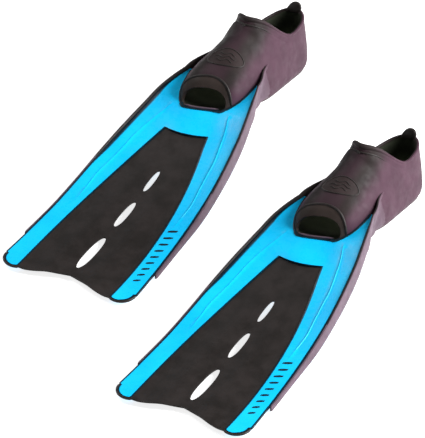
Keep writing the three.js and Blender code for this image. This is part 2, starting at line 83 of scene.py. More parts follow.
# plan of the blade
TIP_HALF_WIDTH, TAPER, WAIST, TAPER_LENGTH = 106.5, 22, 26, 400
ARM_SPREAD, ARM_LIFT = 1.6, 4.5  # the arms' outer edges lean out and up
ARM_RISE, ARM_FALL = (120, 130), (440, 75)
PANEL_HALF_WIDTH, PANEL_TAPER, PANEL_POWER, PANEL_END_Y = 74, 43, 2.25, 320
PANEL_END_BOW, PANEL_END_HALF, BOW_RISE, BOW_FALL = 5.5, 33, (290, 30), (340, 20)
LOBE_X, LOBE_Y, LOBE_RADIUS, EDGE_WIDTH = 83.5, 8.5, 22, 2.9
LOBE_SIDE_Y = 12
NOTCH_Y = 8.5
TRAILING_EDGE = [(0, 8.5), (8, 6.3), (28, -1), (50, -8), (74, -11.3), (80, -11.3)]
CREASE = [(150, 76.5), (190, 77), (209, 77), (239, 72), (267, 68), (290, 65), (328, 54), (358, 42)]
CREASE_HEIGHT, CREASE_HALF_WIDTH, CREASE_RISE, CREASE_FALL = 0.75, 0.9, (140, 60), (362, 12)

# water slots: centre, half length, half width
SLOTS = [(67, 38, 7.2), (158, 27, 5.6), (228, 20.5, 4.2)]

# rails and their wings beside the pocket
GAP = 0.3
RAIL_THICKNESS, RAIL_START_Y = 3.6, 65
RAIL_DROP, RAIL_DEEPEN, RAIL_DEEP_LENGTH, RAIL_DEEP_POWER = 6.13, 17, 285.6, 0.9
RAIL_LIP = 1
RAIL_LIP_CHANGES = [(4, (190, 110)), (3, (372, 60)), (-4.5, (438, 40))]  # by how much, and from where
RAIL_TUCK, RAIL_TUCK_RISE = 2.5, (180, 90)
WING_BLEND_Y, WING_END_Y, WING_LOW = 415, 478, 48
WING_TUCK, WING_TUCK_RISE = 12, (385, 70)
WING_CLEARANCE, WING_EXTRA_CLEARANCE, WING_CLEARANCE_RISE = 1.5, 4.5, (412, 35)

# foot pocket
SOLE_Y, SOLE_HEIGHT, SOLE_SLOPE, SOLE_THICKNESS = 360, 57, 0.262, 3.3
SOLE_SAG, SOLE_SAG_LENGTH = 3.5, 215
WALL = 4
POCKET_START_Y, HEEL_Y = 360.5, 606
HEEL_ROUND_Y, HEEL_ROUND_LENGTH, HEEL_ROUND_RISE = 593, 14.5, 13
SOLE_LOWEST = 3.3
HEEL_START_Y, HEEL_CENTRE_Y, HEEL_HALF_WIDTH, HEEL_END_Y = 572, 560, 37.7, 606.8
BASE_POWER, TOE_POWER, INSTEP_POWER, INSTEP_RISE = 2.6, 2.4, 1.65, (372, 75)
POCKET = [  # y, half width, height of the widest place, height of the crown
    (360, 25, 64, 68),
    (366, 33, 65, 83),
    (378, 40.5, 66, 99),
    (390, 45, 67, 106.5),
    (412, 49.5, 66.5, 114.5),
    (435, 52.5, 62, 122),
    (456, 52, 55, 128),
    (470, 51, 51, 132.5),
    (484, 49, 47, 145.5),
    (512, 45, 41, 160),
    (542, 41, 35, 160),
    (572, 36.5, 31, 158),
    (590, 30, 33, 156),
    (607, 4, 50, 148),
]
RIM = [  # y, height of the ankle opening's edge
    (470, 154),
    (482, 144.2),
    (489, 140.3),
    (497, 133.5),
    (510, 116.5),
    (522, 101.5),
    (534, 90),
    (547, 84),
    (562, 82),
    (582, 81.5),
    (603, 84),
    (612, 86),
]
RIM_FRONT_Y, RIM_BACK_Y, RIM_RADIUS = 482, 603.4, 2.6
TOE_EDGE = [  # y, height of the toe opening's edge
    (360.5, 66),
    (362, 67),
    (364, 69),
    (365.5, 71.2),
    (367.3, 75),
    (368.9, 79),
    (370.4, 83),
    (371.8, 87.5),
    (373, 92),
    (374, 97),
    (374.8, 106),
    (375.3, 118),
]
SKEW, SKEW_WIDTH = 0.32, 46  # how the toe box leans round the foot's shorter toes
SKEW_RISE, SKEW_FALL = (300, 35), (478, 70)
TIP_LEAN, TIP_LEAN_Y, TIP_LEAN_MOST = 6.0, 180, 1.2
RIM_TILT, RIM_TILT_Y, RIM_TILT_Z, RIM_TILT_LENGTH = 0.16, 495, 35, 40
BEAD_Y, BEAD_RADIUS, BEAD_LEAN, BEAD_BOW = 387.5, 1.7, 8, 7


def clamp(t):
    return min(1.0, max(0.0, t))


def smooth(t):
    return clamp(t) ** 2 * (3 - 2 * clamp(t))


def smooth_each(t):
    """`smooth` for each number of an array."""
    t = np.clip(t, 0, 1)
    return t**2 * (3 - 2 * t)


def rise(y, start, length):
    return smooth((y - start) / length)


def fall(y, end, length):
    return smooth((end - y) / length)


def mix(a, b, t):
    return a + (b - a) * t


def through(points, column=1):
    """A smooth curve through points (x, values...), read by its x."""
    xs = [p[0] for p in points]
    values = [p[column] for p in points]
    last = len(points) - 1

    def slope(i):
        before, after = max(0, i - 1), min(last, i + 1)
        return (values[after] - values[before]) / (xs[after] - xs[before])

    def curve(x):
        i = min(last - 1, max(0, int(np.searchsorted(xs, x)) - 1))
        width = xs[i + 1] - xs[i]
        t = clamp((x - xs[i]) / width)
        start, end = slope(i) * width, slope(i + 1) * width
        a, b = values[i], values[i + 1]
        return a + start * t + (3 * (b - a) - 2 * start - end) * t**2 + (2 * (a - b) + start + end) * t**3

    return curve


def bowl(y):
    return BLADE_LOW + BLADE_BEND * (y - BLADE_LOW_Y) ** 2


def middle(y):
    if y < COLLAR_Y:
        return bowl(y)
    return bowl(COLLAR_Y) + COLLAR_RISE * (1 - math.exp((COLLAR_Y - y) / COLLAR_LENGTH))


def arm_share(y):
    """How far the arms are turned up: most where the blade is slimmest."""
    return rise(y, *ARM_RISE) * fall(y, *ARM_FALL)


def blade_half(y):
    width = TIP_HALF_WIDTH - TAPER * (y / TAPER_LENGTH) - WAIST * (y / TAPER_LENGTH) ** 4
    return width + ARM_SPREAD * arm_share(y)


def panel_half(y):
    return PANEL_HALF_WIDTH - PANEL_TAPER * clamp(y / PANEL_END_Y) ** PANEL_POWER


def toe_skew(x):
    """How far a place across the toe box is moved toward the heel."""
    return SKEW * x * np.exp(-((x / SKEW_WIDTH) ** 2))


def skewed(points):
    """Leans the toe box back on one side and the blade's tip sideways, and tilts the ankle opening's rim."""
    moved = np.array(points, float)
    x, y = moved[:, 0].copy(), moved[:, 1].copy()
    (front_y, front_length), (back_y, back_length) = SKEW_RISE, SKEW_FALL
    share = smooth_each((y - front_y) / front_length) * smooth_each((back_y - y) / back_length)
    moved[:, 1] = y + toe_skew(x) * share
    tip = np.clip((TIP_LEAN_Y - y) / TIP_LEAN_Y, 0, TIP_LEAN_MOST)
    moved[:, 0] = x + TIP_LEAN * tip**2
    behind = np.clip((y - RIM_TILT_Y) / RIM_TILT_LENGTH, 0, 1)
    above = np.clip((moved[:, 2] - RIM_TILT_Z) / RIM_TILT_LENGTH, 0, 1)
    moved[:, 2] += RIM_TILT * x * behind * above
    return moved


def frame_thickness(y):
    return mix(FRAME_TIP_THICKNESS, FRAME_ROOT_THICKNESS, clamp(y / FLEX_Y))


trailing_edge = through(TRAILING_EDGE)
crease_line = through(CREASE)
rim_height = through(RIM)
toe_edge = through(TOE_EDGE)
station_half = through(POCKET, 1)
pocket_widest = through(POCKET, 2)
pocket_crown = through(POCKET, 3)


def pocket_half(y):
    if y < HEEL_START_Y:
        return station_half(y)
    t = clamp((y - HEEL_CENTRE_Y) / (HEEL_END_Y - HEEL_CENTRE_Y))
    return HEEL_HALF_WIDTH * math.sqrt(1 - t * t)


def sole_plane(y):
    sag = SOLE_SAG * math.sin(math.pi * clamp((y - SOLE_Y) / SOLE_SAG_LENGTH)) ** 2
    return SOLE_HEIGHT - SOLE_SLOPE * (y - SOLE_Y) - sag


def pocket_base(y):
    t = clamp((y - HEEL_ROUND_Y) / HEEL_ROUND_LENGTH)
    return max(SOLE_LOWEST, sole_plane(y) + SOLE_THICKNESS) + HEEL_ROUND_RISE * (1 - math.sqrt(1 - t * t))


def dome_power(y):
    return mix(TOE_POWER, INSTEP_POWER, rise(y, *INSTEP_RISE))


def outside_half(y, z):
    """Half width of the pocket's outside at a height."""
    widest = pocket_widest(y)
    reach = (pocket_crown(y) if z > widest else pocket_base(y)) - widest
    power = dome_power(y) if z > widest else BASE_POWER
    return pocket_half(y) * (1 - clamp((z - widest) / reach) ** power) ** (1 / power)


def dome_height(x, y):
    """Height of the pocket's outside over a place on its upper side."""
    widest, power = pocket_widest(y), dome_power(y)
    share = clamp(abs(x) / pocket_half(y))
    return widest + (pocket_crown(y) - widest) * (1 - share**power) ** (1 / power)


def rail_top(y):
    """Height of a rail's upper edge."""
    lip = RAIL_LIP + sum(change * rise(y, *where) for change, where in RAIL_LIP_CHANGES)
    return middle(y) + lip + ARM_LIFT * arm_share(y)


def rail_low(y):
    """Height of a rail's lower edge."""
    deepened = 1 - (1 - rise(y, RAIL_START_Y, RAIL_DEEP_LENGTH)) ** RAIL_DEEP_POWER
    clearance = WING_CLEARANCE + WING_EXTRA_CLEARANCE * rise(y, *WING_CLEARANCE_RISE)
    over_sole = sole_plane(y) + SOLE_THICKNESS + clearance
    return min(bowl(y) - RAIL_DROP - RAIL_DEEPEN * deepened, WING_LOW, over_sole)


# ---- mesh helpers


class Fin:
    """One fin's place in the model's frame, and which of its sides is the outer one."""

    def __init__(self, side, outer):
        low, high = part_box(f"{side}_foot_pocket")
        self.side = side
        self.outer = outer
        self.origin = np.array([(low.x + high.x) / 2, high.y - HEEL_Y * MM, 0])

    def place(self, points):
        return skewed(points) * MM + self.origin

    def flank(self, sign):
        return "outer" if sign == self.outer else "inner"


def grid(rows, columns, start=0, wrap=False):
    """Faces over points laid out row by row."""
    faces = []
    for j in range(rows - 1):
        for i in range(columns if wrap else columns - 1):
            a, b = j * columns + i, j * columns + (i + 1) % columns
            faces.append([start + a, start + b, start + b + columns, start + a + columns])
    return faces


def boundary(faces):
    """Edges that have a face on one side only, in that face's direction."""
    edges = {(f[i], f[(i + 1) % len(f)]) for f in faces for i in range(len(f))}
    return [e for e in edges if (e[1], e[0]) not in edges]


def weld(samples, faces):
    """Makes samples at one place into one, and drops the faces that have closed up."""
    kept, turned, found = [], [], {}
    for sample in samples:
        key = (round(sample[0], 2), round(sample[1], 2))
        if key not in found:
            found[key] = len(kept)
            kept.append(sample)
        turned.append(found[key])
    merged = [list(dict.fromkeys(turned[i] for i in f)) for f in faces]
    return np.asarray(kept, float), [f for f in merged if len(f) > 2]


def sheet(samples, faces):
    """A closed plate from samples (x, y, top, bottom) and their faces, and 1 for each point on its rim."""
    samples, faces = weld(samples, faces)
    count = len(samples)
    points = np.vstack([samples[:, [0, 1, 2]], samples[:, [0, 1, 3]]])
    rim = boundary(faces)
    walls = [[a + count, b + count, b, a] for a, b in rim]
    under = [[i + count for i in reversed(f)] for f in faces]
    edge = np.zeros(2 * count)
    for a, b in rim:
        edge[[a, b, a + count, b + count]] = 1
    return points, faces + under + walls, edge


def loft(sections):
    """A closed body through closed outlines that all have the same number of points."""
    rows, columns = len(sections), len(sections[0])
    faces = grid(rows, columns, wrap=True)
    faces += [list(reversed(range(columns))), [(rows - 1) * columns + i for i in range(columns)]]
    return np.vstack(sections), faces


def sweep(path, radius, sides=12, closed=False, flat=1.0):
    """A round or oval cord along a path, in loft form. radius is one number or one for each point."""
    path = np.asarray(path, float)
    count = len(path)
    radii = np.broadcast_to(radius, count)
    ahead = np.roll(path, -1, 0) if closed else np.vstack([path[1:], path[-1:]])
    behind = np.roll(path, 1, 0) if closed else np.vstack([path[:1], path[:-1]])
    tangent = ahead - behind
    tangent /= np.linalg.norm(tangent, axis=1)[:, None]
    side = np.cross(tangent, [0, 0, 1])
    side /= np.linalg.norm(side, axis=1)[:, None]
    up = np.cross(side, tangent)
    turn = np.linspace(0, 2 * math.pi, sides, endpoint=False)
    rings = [
        path[i] + radii[i] * (np.outer(np.cos(turn), side[i]) + flat * np.outer(np.sin(turn), up[i]))
        for i in range(count)
    ]
    if not closed:
        return loft(rings)
    faces = grid(count, sides, wrap=True)
    last = (count - 1) * sides
    faces += [[last + i, last + (i + 1) % sides, (i + 1) % sides, i] for i in range(sides)]
    return np.vstack(rings), faces


def tapered(count, thin, thick, steps):
    """Radii of a cord that thins out over a few points at each end."""
    last = count - 1
    return [thin + (thick - thin) * smooth(i / steps) * smooth((last - i) / steps) for i in range(count)]


WELD_DISTANCE = 0.02


def piece(fin, name, shape, look, attributes=None, sharp=40, inside=None):
    """Makes an object from points and faces. An open shell turns its back to the point `inside`."""
    points, faces = shape[0], shape[1]
    mesh = bpy.data.meshes.new(f"{fin.side}_{name}")
    mesh.from_pydata(fin.place(points).tolist(), [], [list(f) for f in faces])
    for key, values in (attributes or {}).items():
        mesh.attributes.new(key, "FLOAT", "POINT").data.foreach_set("value", np.asarray(values, np.float32))
    work = bmesh.new()
    work.from_mesh(mesh)
    bmesh.ops.remove_doubles(work, verts=work.verts, dist=WELD_DISTANCE * MM)
    bmesh.ops.recalc_face_normals(work, faces=work.faces)
    if inside is not None:
        centre = Vector(fin.place([inside])[0])
        facing = 0.0
        for face in work.faces:
            outward = (face.calc_center_median() - centre).normalized()
            facing += outward.dot(face.normal) * face.calc_area()
        if facing < 0:
            bmesh.ops.reverse_faces(work, faces=work.faces)
    work.to_mesh(mesh)
    work.free()
    obj = bpy.data.objects.new(mesh.name, mesh)
    bpy.context.scene.collection.objects.link(obj)
    mesh.materials.append(look)
    mesh.shade_smooth()
    mesh.set_sharp_from_angle(angle=math.radians(sharp))
    return obj


def settle(obj, sharp=40):
    """Applies an object's modifiers, so that its mesh is final."""
    bpy.context.view_layer.update()
    done = bpy.data.meshes.new_from_object(obj.evaluated_get(bpy.context.evaluated_depsgraph_get()))
    obj.modifiers.clear()
    obj.data = done
    done.shade_smooth()
    done.set_sharp_from_angle(angle=math.radians(sharp))
    return obj


def rounded(obj, width, segments=2, angle=50, sharp=40):
    """Rounds an object's edges over by `width` millimetres."""
    bevel = obj.modifiers.new("round", "BEVEL")
    bevel.width, bevel.segments = width * MM, segments
    bevel.limit_method, bevel.angle_limit = "ANGLE", math.radians(angle)
    bevel.use_clamp_overlap = True
    return settle(obj, sharp)


# ---- materials


class Nodes:
    """Short calls for one material's nodes."""

    def __init__(self, name):
        self.material = bpy.data.materials.new(name)
        self.material.use_nodes = True
        self.tree = self.material.node_tree
        self.shader = self.tree.nodes["Principled BSDF"]
        self.place = self.add("ShaderNodeTexCoord").outputs["Object"]

    def add(self, kind, **settings):
        node = self.tree.nodes.new(kind)
        for key, value in settings.items():
            setattr(node, key, value)
        return node

    def join(self, output, target):
        self.tree.links.new(output, target)

    def noise(self, scale, detail=4, rough=0.55):
        node = self.add("ShaderNodeTexNoise")
        self.join(self.place, node.inputs["Vector"])
        node.inputs["Scale"].default_value = scale
        node.inputs["Detail"].default_value = detail
        node.inputs["Roughness"].default_value = rough
        return node.outputs["Fac"]

    def remap(self, value, low, high, to_low, to_high):
        node = self.add("ShaderNodeMapRange", interpolation_type="SMOOTHSTEP")
        self.join(value, node.inputs["Value"])
        for key, number in (("From Min", low), ("From Max", high), ("To Min", to_low), ("To Max", to_high)):
            node.inputs[key].default_value = number
        return node.outputs["Result"]

    def blend(self, factor, first, second):
        node = self.add("ShaderNodeMix", data_type="RGBA")
        self.join(factor, node.inputs["Factor"])
        for value, target in ((first, node.inputs[6]), (second, node.inputs[7])):
            if isinstance(value, tuple):
                target.default_value = (*value, 1)
            else:
                self.join(value, target)
        return node.outputs[2]

    def bump(self, height, depth, strength=1.0, after=None):
        node = self.add("ShaderNodeBump")
        self.join(height, node.inputs["Height"])
        node.inputs["Distance"].default_value = depth * MM
        node.inputs["Strength"].default_value = strength
        if after is not None:
            self.join(after, node.inputs["Normal"])
        return node.outputs["Normal"]

    def attribute(self, name):
        return self.add("ShaderNodeAttribute", attribute_name=name).outputs["Fac"]


def rubber(name, dark, light, roughness, grain=0.12, sheen=0.0, specular=0.5, pale=None, by="painted_light"):
    """Moulded rubber: mottling, a matt grain and a few scuffs. It is `pale` where attribute `by` is 1; on the
    pocket's outside, the collar roll and the rails that pale colour is painted light.
    """
    n = Nodes(name)
    mottle = n.remap(n.noise(38, 5), 0.32, 0.68, 0, 1)
    colour = n.blend(mottle, dark, light)
    if pale is not None:
        lit = tuple(1.25 * c for c in pale)
        colour = n.blend(n.attribute(by), colour, n.blend(mottle, pale, lit))
    scuff = n.remap(n.noise(310, 3, 0.7), 0.66, 0.78, 0, 0.35)
    scuffed = n.blend(scuff, colour, tuple(min(1.0, 1.5 * c + 0.006) for c in light))
    n.join(scuffed, n.shader.inputs["Base Color"])
    rough = n.remap(n.noise(95, 4), 0.3, 0.7, roughness - 0.07, roughness + 0.09)
    n.join(rough, n.shader.inputs["Roughness"])
    coarse = n.bump(n.noise(160, 3), 0.25, 0.35)
    n.join(n.bump(n.noise(1500, 2), grain, 0.5, coarse), n.shader.inputs["Normal"])
    n.shader.inputs["Specular IOR Level"].default_value = specular
    n.shader.inputs["Sheen Weight"].default_value = sheen
    n.shader.inputs["Sheen Roughness"].default_value = 0.45
    n.shader.inputs["Sheen Tint"].default_value = (0.86, 0.62, 0.74, 1)
    return n.material


def plastic(name, deep, clear, line):
    """Glossy moulded plastic with painted shade along its rim, where the rubber is moulded over it: a dark
    band for the shade in that joint.
    """
    n = Nodes(name)
    flow = n.remap(n.noise(16, 3), 0.3, 0.7, 0, 1)
    colour = n.blend(flow, deep, clear)
    specks = n.remap(n.noise(650, 2), 0.62, 0.8, 0, 0.16)
    speckled = n.blend(specks, colour, tuple(min(1.0, c * 1.1 + 0.02) for c in clear))
    # painted shade: dark over the rim attribute, for the shade where the frame meets the rubber
    rim = n.remap(n.attribute("rim"), 0.3, 0.62, 0, 1)
    n.join(n.blend(rim, speckled, line), n.shader.inputs["Base Color"])
    n.join(n.remap(n.noise(120, 4), 0.3, 0.7, 0.22, 0.38), n.shader.inputs["Roughness"])
    wave = n.bump(n.noise(60, 2), 0.2, 0.25)
    n.join(n.bump(n.noise(1100, 2), 0.04, 0.4, wave), n.shader.inputs["Normal"])
    n.shader.inputs["Specular IOR Level"].default_value = 0.16
    return n.material


# the third colour is the painted shade along the blue frame's rims
BLUE = plastic("blade_plastic", (0.002, 0.50, 0.92), (0.005, 0.57, 0.98), (0.001, 0.015, 0.028))
BLACK = rubber("panel_rubber", (0.010, 0.0075, 0.0065), (0.019, 0.0145, 0.0135), 0.55, specular=0.2)
# painted light: the lit colour of the pocket's flanks, the collar roll's outer side and the rail wings
LIT_SIDE_MAUVE = (0.050, 0.0215, 0.035)
MAUVE = rubber(
    "pocket_rubber", (0.012, 0.008, 0.0078), (0.019, 0.0125, 0.0122), 0.6, specular=0.18, pale=LIT_SIDE_MAUVE
)
DARK = rubber("instep_rubber", (0.018, 0.011, 0.011), (0.027, 0.017, 0.017), 0.6, specular=0.2)
# painted light: the lit mauve of the rails' outer faces and of the toe lip
LIT_FLANK = rubber(
    "rail_lit_side_rubber", (0.088, 0.057, 0.078), (0.116, 0.076, 0.104), 0.58, sheen=0.05, specular=0.22, pale=LIT_SIDE_MAUVE
)
TOE = rubber("toe_cap_rubber", (0.022, 0.015, 0.012), (0.032, 0.022, 0.019), 0.6, specular=0.2)
# the dark trim rubber, also the painted shade on the rails' inner faces and under the collar
TRIM_AND_SHADE = rubber("trim_rubber", (0.014, 0.011, 0.010), (0.022, 0.017, 0.016), 0.5, specular=0.3)
DEEP = (0.17, 0.19, 0.125)
LINING = rubber(
    "lining_rubber", (0.027, 0.031, 0.020), (0.035, 0.040, 0.027), 0.65, specular=0.2, pale=DEEP, by="depth"
)
SOLE = rubber("sole_rubber", (0.040, 0.023, 0.029), (0.055, 0.032, 0.040), 0.6, grain=0.3)
# the ink of the printed marks, and the painted shade of the groove round the pocket's base
PRINT_INK_AND_SHADE = rubber("mark_and_shade_ink", (0.001, 0.012, 0.02), (0.002, 0.018, 0.03), 0.5, grain=0.03, specular=0.2)

# ---- blade

FRAME_TUCK = 1.5  # how far the frame reaches into the pocket's wall
CROSS_END_Y = 361.5
RIM_LINE, POCKET_LINE, LINE_SHARE = 4.4, 4.5, 0.22  # width of the frame's dark rim of painted shade, and its most of an arm
FAR_ARM_SHADE, FAR_ARM_SHADE_RISE = 5.5, (215, 50)  # the painted shade rim is wider on one arm, standing in for the shade on the rail's inner face there


def frame_inner(y):
    """The frame's edge beside the panel, then under the collar, then beside the pocket."""
    radius = LOBE_RADIUS - EDGE_WIDTH
    if y < LOBE_Y:
        return max(PANEL_HALF_WIDTH, LOBE_X - math.sqrt(max(0, radius**2 - (y - LOBE_Y) ** 2)))
    if y <= PANEL_END_Y:
        return panel_half(y)
    beside = pocket_half(max(y, CROSS_END_Y)) - FRAME_TUCK
    return mix(panel_half(y), beside, clamp((y - PANEL_END_Y) / (CROSS_END_Y - PANEL_END_Y)))


def frame_outer(y):
    radius = LOBE_RADIUS - EDGE_WIDTH
    lobe = LOBE_X + math.sqrt(max(0, radius**2 - (y - LOBE_Y) ** 2))
    if y < LOBE_Y:
        return lobe
    step = smooth((y - LOBE_SIDE_Y + 1) / 2)
    side = blade_half(y) + (GAP - 0.05) * smooth((y - RAIL_START_Y + 2) / 2)
    return mix(LOBE_X + radius, side, step)


def arm_lift(x, y):
    """How far a place on an arm stands over the bowl."""
    inner, outer = frame_inner(y), frame_outer(y)
    return ARM_LIFT * clamp((abs(x) - inner) / (outer - inner)) ** 1.5 * arm_share(y)


def crease_share(y):
    """Where the crease lies across an arm, from its inner edge, 0, to its outer edge, 1."""
    at = min(CREASE[-1][0], max(CREASE[0][0], y))
    return (crease_line(at) - frame_inner(at)) / (frame_outer(at) - frame_inner(at))


def arm_places(y, sign):
    """Places across one arm of the frame and how high each stands over the plain surface."""
    inner, outer = frame_inner(y), frame_outer(y)
    width = outer - inner
    # line and edge are the widths of the painted shade along the arm's inner and outer rims
    line = min(POCKET_LINE if y > CROSS_END_Y else RIM_LINE, LINE_SHARE * width)
    # painted shade: the -x arm's outer rim band is wider
    far_shade = FAR_ARM_SHADE * rise(y, *FAR_ARM_SHADE_RISE) if sign < 0 else 0
    edge = min(RIM_LINE + far_shade, LINE_SHARE * width)
    crease = mix(inner, outer, crease_share(y))
    half = min(CREASE_HALF_WIDTH, 0.05 * width)
    height = CREASE_HEIGHT * rise(y, *CREASE_RISE) * fall(y, *CREASE_FALL)
    first, last = inner + line, outer - edge
    places = [inner, first, mix(first, crease, 0.35), mix(first, crease, 0.7), crease - half, crease]
    places += [crease + half, mix(crease, last, 0.35), mix(crease, last, 0.7), last, outer]
    relief = [0] * 5 + [height] + [-0.25 * height] + [0] * 4
    return list(zip(places, relief))


def frame_rows():
    radius = LOBE_RADIUS - EDGE_WIDTH
    tip = [LOBE_Y - radius * math.cos(a) for a in np.linspace(0.06, math.pi / 2, 12)]
    side = [10, 11, 11.5, 12, 12.5, 13, 15, 20]
    along = list(np.arange(26, 60, 6)) + [RAIL_START_Y + d for d in (-2, -1, 0, 1, 6)]
    along += list(np.arange(76, 318, 6))
    cross = [320, 321.5, 324, 328, 333, 338, 343, 348, 352, 355, 358.5, 360, 361.5]
    flank = [363, 365, 367, 370, 374, 378, 383, 388, 394, 400, 406, 411, 415, 418, 420, 421]
    return tip + side + along + cross + flank


def end_bow(x):
    """How far the bar under the toes, and the panel's end with it, bows toward the tip."""
    return PANEL_END_BOW * (1 - clamp(abs(x) / PANEL_END_HALF) ** 2)


def blade_shell(fin):
    """The blue frame: two arms round the panel, the bar under the toes, and a flank on each side."""
    samples, arms, bars = [], {-1: [], 1: []}, []
    faces = []

    def add(x, y, relief=0.0):
        bow = end_bow(x) * fall(y, *BOW_FALL) if y >= PANEL_END_Y else 0
        half = frame_thickness(y) / 2
        lift = arm_lift(x, y)
        samples.append((x, y - bow, middle(y) + half + relief + lift, middle(y) - half + lift))
        return len(samples) - 1

    for y in frame_rows():
        for sign in (-1, 1):
            arms[sign].append([add(sign * x, y, relief) for x, relief in arm_places(y, sign)])
        if PANEL_END_Y <= y <= CROSS_END_Y:
            inner = frame_inner(y)
            between = [add(mix(-inner, inner, t), y) for t in np.linspace(0, 1, 11)[1:-1]]
            bars.append([arms[-1][-1][0], *between, arms[1][-1][0]])
    for rows, turn in ((arms[-1], -1), (arms[1], 1), (bars, 1)):
        for low, high in zip(rows, rows[1:]):
            for i in range(len(low) - 1):
                quad = [low[i], low[i + 1], high[i + 1], high[i]]
                faces.append(quad[::turn])
    points, faces, rim = sheet(samples, faces)
    obj = piece(fin, "blade_shell", (points, faces), BLUE, {"rim": rim})
    return rounded(obj, 0.6)


def slot_half(y):
    """Half width of the water slot at a place: pointed toward the tip and round toward the foot."""
    for centre, length, width in SLOTS:
        t = (y - centre) / length
        if abs(t) < 1:
            widest = -0.1
            if t < widest:
                return width * (1 - ((widest - t) / (1 + widest)) ** 2.3) ** 0.5
            return width * (1 - ((t - widest) / (1 - widest)) ** 2.6) ** 0.5
    return 0.0


def panel_rows():
    """Rows up the panel's centre line, closer together at the ends of the slots."""
    rows, last = list(np.linspace(NOTCH_Y, SLOTS[0][0] - SLOTS[0][1], 8)), None
    for centre, length, _ in SLOTS:
        if last is not None:
            rows += list(np.linspace(last, centre - length, 6))[1:]
        rows += [centre - length * math.cos(a) for a in np.linspace(0, math.pi, 25)][1:]
        last = centre + length
    return rows + list(np.linspace(last, PANEL_END_Y + 1, 16))[1:]


PANEL_LAP = 1.2  # how far the panel reaches into the frame's edge
PANEL_FOLDS = [(2.2, 0.44, 0.22), (-0.8, 0.86, 0.12), (-0.5, 0, 0.2)]  # height, place across a half, width
FOLD_FALL, FOLD_EDGE = (300, 260), 0.12


def panel_fold(x, y):
    """Soft lengthwise folds that fade toward the foot."""
    share = clamp(abs(x) / panel_half(y))
    folds = sum(height * math.exp(-(((share - place) / width) ** 2)) for height, place, width in PANEL_FOLDS)
    return folds * fall(y, *FOLD_FALL) * fall(share, 1, FOLD_EDGE)


def panel(fin):
    """The flexible panel, with its three water slots."""
    samples, faces = [], []
    rows, columns = panel_rows(), 22
    start = SLOTS[0][0] - SLOTS[0][1]
    for sign in (-1, 1):
        first = len(samples)
        for row in rows:
            slot = slot_half(row)
            for u in np.linspace(0, 1, columns):
                x = mix(slot, panel_half(row) + PANEL_LAP, u)
                back = 1 - clamp((row - NOTCH_Y) / (start - NOTCH_Y))
                y = row + (trailing_edge(x) - NOTCH_Y) * back - end_bow(x) * rise(row, *BOW_RISE)
                height = middle(y) + panel_fold(x, y)
                half = PANEL_THICKNESS / 2
                samples.append((sign * x, y, height + half, height - half))
        faces += [f[::sign] for f in grid(len(rows), columns, first)]
    points, faces, _ = sheet(samples, faces)
    obj = piece(fin, "blade_web", (points, faces), BLACK)
    return rounded(obj, 0.7, angle=60)


def tip_edging(fin, sign):
    """The rubber edging round one rounded tip."""
    radius, count = LOBE_RADIUS - EDGE_WIDTH / 2 + 0.1, 48
    path = []
    for turn in np.linspace(math.radians(-122), math.radians(11), count):
        y = LOBE_Y + radius * math.sin(turn)
        path.append((sign * (LOBE_X + radius * math.cos(turn)), y, middle(max(0, y))))
    shape = sweep(path, tapered(count, 0.4, EDGE_WIDTH / 2 + 0.2, 3), 14, flat=1.15)
    return piece(fin, f"{fin.flank(sign)}_tip_edging", shape, TRIM_AND_SHADE, sharp=60)


# ---- rails

RAIL_LEVELS, RAIL_BULGE = 9, 0.5
RAIL_ROLL, RAIL_ROLL_SHARE = 1.1, 0.2  # how far its edges are rounded, and most of its height that takes
WING_SKIN_START, WING_SKIN_END, WING_SKIN_RISE = 1.4, -0.9, (425, WING_END_Y - 425)
WING_MEETS_Y, WING_MEETS_LENGTH = 405, 13  # where its outer face comes to lie on the pocket
WING_PALE_RISE = (418, 56)
RAIL_DARK_Y = 235  # from here on a rail's top is dark as painted shade as well as its inner face


def wing_tuck(y):
    """How far a rail's lower edge lies inward from its upper one."""
    return WING_TUCK * rise(y, *WING_TUCK_RISE) + RAIL_TUCK * rise(y, *RAIL_TUCK_RISE)


def wing_wall(y, upper):
    """Half width of the pocket beside a rail's upper or lower edge."""
    return outside_half(y, rail_top(y)) if upper else pocket_half(y)


def wing_flank(y, upper):
    """The rail's outer face at its upper or lower edge: beside the blade, then closing in on the pocket."""
    side = blade_half(min(y, WING_BLEND_Y)) + GAP + RAIL_THICKNESS
    if y < WING_BLEND_Y:
        return side
    stand = side - wing_wall(WING_BLEND_Y, upper)
    return wing_wall(y, upper) + stand * (1 - smooth((y - WING_BLEND_Y) / (WING_END_Y - WING_BLEND_Y)))


def rail_edge(x, z, roll, inward):
    """Three points that round off a rail's edge. inward is -1 at the top and 1 at the bottom."""
    return [(x - 0.35 * roll, z + 0.3 * roll * inward), (x - roll, z), (x - RAIL_THICKNESS + 0.6 * roll, z)]


def rail_section(y, sign):
    top, low = rail_top(y), rail_low(y)
    high_x, low_x = wing_flank(y, True), wing_flank(y, False) - wing_tuck(y)
    skin = mix(WING_SKIN_START, WING_SKIN_END, rise(y, *WING_SKIN_RISE))
    outer = []
    for t in np.linspace(0, 1, RAIL_LEVELS):
        z = mix(top, low, t)
        x = mix(high_x, low_x, t) + RAIL_BULGE * math.sin(math.pi * t)
        if y > WING_MEETS_Y:
            x = mix(x, max(x, outside_half(y, z) + skin), clamp((y - WING_MEETS_Y) / WING_MEETS_LENGTH))
        outer.append([x, z])
    roll = min(RAIL_ROLL, RAIL_ROLL_SHARE * (top - low))
    outer[0][1] -= roll
    outer[-1][1] += roll
    crown = rail_edge(outer[0][0], top, roll, -1)
    heel = rail_edge(outer[-1][0], low, roll, 1)
    inner = [(x - RAIL_THICKNESS, z) for x, z in outer]
    loop = [*reversed(crown), *map(tuple, outer), *heel, *reversed(inner)]
    return [(sign * x, y, z) for x, z in loop]


